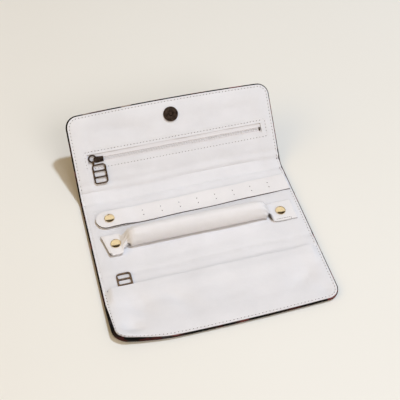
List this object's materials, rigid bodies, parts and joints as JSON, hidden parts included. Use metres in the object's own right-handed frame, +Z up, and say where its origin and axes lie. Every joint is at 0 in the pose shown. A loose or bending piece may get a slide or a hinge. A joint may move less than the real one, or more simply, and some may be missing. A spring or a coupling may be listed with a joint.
{
  "type": "travel jewelry pouch",
  "caption": "Fold-over travel jewelry pouch lying open: padded panels, zip pockets with charm pulls, a stuffed ring roll, a snap-down earring strip and a magnetic snap.",
  "frame": {"origin": "centre of the middle panel's underside, on the surface the open pouch lies on", "axes": "+X across the width towards the sewn ends of the strip and roll, +Y from the front edge towards the flap, +Z up"},
  "size_m": [0.195, 0.2178, 0.0606],
  "materials": {
    "outer_cloth": "dark printed cotton",
    "lining": "pale fine twill",
    "padding": "felt",
    "board": "matte",
    "bag": "thin lining cloth",
    "zip_tape": "woven tape with teeth",
    "zip_metal": "dark antique",
    "charm_metal": "dark antique",
    "magnet_metal": "dark antique",
    "cap_metal": "pale polished"
  },
  "bodies": {
    "middle_panel": {"middle_outer": "outer_cloth", "middle_padding": "padding", "middle_lining": "lining", "earring_strip_end": "lining", "strip_snap_stud": "cap_metal", "ring_roll_end": "lining", "roll_end_cap": "cap_metal", "roll_end_rivet": "zip_metal", "roll_snap_stud": "cap_metal"},
    "back_low": {"back_low_outer": "outer_cloth", "back_low_padding": "padding", "back_low_lining": "lining"},
    "back_high": {"back_high_outer": "outer_cloth", "back_high_padding": "padding", "back_high_lining": "lining"},
    "flap": {"flap_outer": "outer_cloth", "flap_board": "board", "flap_pocket_bag": "bag", "flap_lining": "lining", "flap_zip_tape_far": "zip_tape", "flap_zip_tape_near": "zip_tape", "flap_zip_bottom_stop": "zip_metal", "flap_zip_top_stop_far": "zip_metal", "flap_zip_top_stop_near": "zip_metal", "snap_magnet": "magnet_metal", "snap_magnet_washer": "zip_metal"},
    "flap_slider": {"flap_zip_slider": "zip_metal", "flap_pull_ring": "charm_metal"},
    "flap_pull": {"flap_pull_charm": "charm_metal"},
    "front_wall": {"front_wall_outer": "outer_cloth", "front_wall_padding": "padding", "front_wall_lining": "lining", "pocket_lip": "lining", "front_zip_tape_far": "zip_tape", "front_zip_tape_near": "zip_tape", "front_zip_bottom_stop": "zip_metal", "front_zip_top_stop_far": "zip_metal", "front_zip_top_stop_near": "zip_metal"},
    "front_slider": {"front_zip_slider": "zip_metal"},
    "front_pull": {"front_pull_charm": "charm_metal"},
    "front_panel": {"front_outer": "outer_cloth", "front_padding": "padding", "front_pocket_bag": "bag", "front_lining": "lining", "snap_plate": "magnet_metal", "snap_plate_washer": "zip_metal"},
    "strip": {"earring_strip": "lining", "strip_snap_cap": "cap_metal", "strip_snap_socket": "cap_metal"},
    "roll": {"ring_roll_cover": "lining", "ring_roll_filling": "padding", "roll_snap_cap": "cap_metal", "roll_snap_socket": "cap_metal"}
  },
  "joints": [
    {"name": "back_crease", "type": "hinge", "parent": "middle_panel", "child": "back_low", "pos_m": [0, 0.03705, 0.0046], "axis": [1, 0, 0], "range_deg": [0, 66]},
    {"name": "bend_crease", "type": "hinge", "parent": "back_low", "child": "back_high", "pos_m": [0, 0.05184, 0.0046], "axis": [1, 0, 0], "range_deg": [-46, 0]},
    {"name": "flap_crease", "type": "hinge", "parent": "back_high", "child": "flap", "pos_m": [0, 0.06087, 0.01395], "axis": [1, 0, 0], "range_deg": [0, 65]},
    {"name": "front_wall_crease", "type": "hinge", "parent": "middle_panel", "child": "front_wall", "pos_m": [0, -0.03705, 0.0046], "axis": [-1, 0, 0], "range_deg": [0, 90]},
    {"name": "front_panel_crease", "type": "hinge", "parent": "front_wall", "child": "front_panel", "pos_m": [0, -0.05945, 0.0046], "axis": [-1, 0, 0], "range_deg": [0, 93]},
    {"name": "flap_zip_slide", "type": "slide", "parent": "flap", "child": "flap_slider", "axis": [1, 0, 0], "range_m": [0, 0.15], "deforming": ["flap_zip_tape_far", "flap_zip_tape_near"]},
    {"name": "flap_pull_swing", "type": "hinge", "parent": "flap_slider", "child": "flap_pull", "pos_m": [-0.0795, 0.07502, 0.02983], "axis": [1, 0, 0], "range_deg": [-110, 0]},
    {"name": "front_zip_slide", "type": "slide", "parent": "front_wall", "child": "front_slider", "axis": [1, 0, 0], "range_m": [0, 0.15], "deforming": ["front_zip_tape_far", "front_zip_tape_near"]},
    {"name": "front_pull_swing", "type": "hinge", "parent": "front_slider", "child": "front_pull", "pos_m": [-0.0764, -0.05545, 0.00545], "axis": [-1, 0, 0], "range_deg": [-12, 0]},
    {"name": "earring_strip_open", "type": "hinge", "parent": "middle_panel", "child": "strip", "pos_m": [0.08815, 0.02655, 0.0063], "axis": [0.0227, -0.9997, 0], "range_deg": [-120, 0]},
    {"name": "ring_roll_open", "type": "hinge", "parent": "middle_panel", "child": "roll", "pos_m": [0.0685, -0.00685, 0.0063], "axis": [0, -1, 0], "range_deg": [-70, 0]}
  ]
}
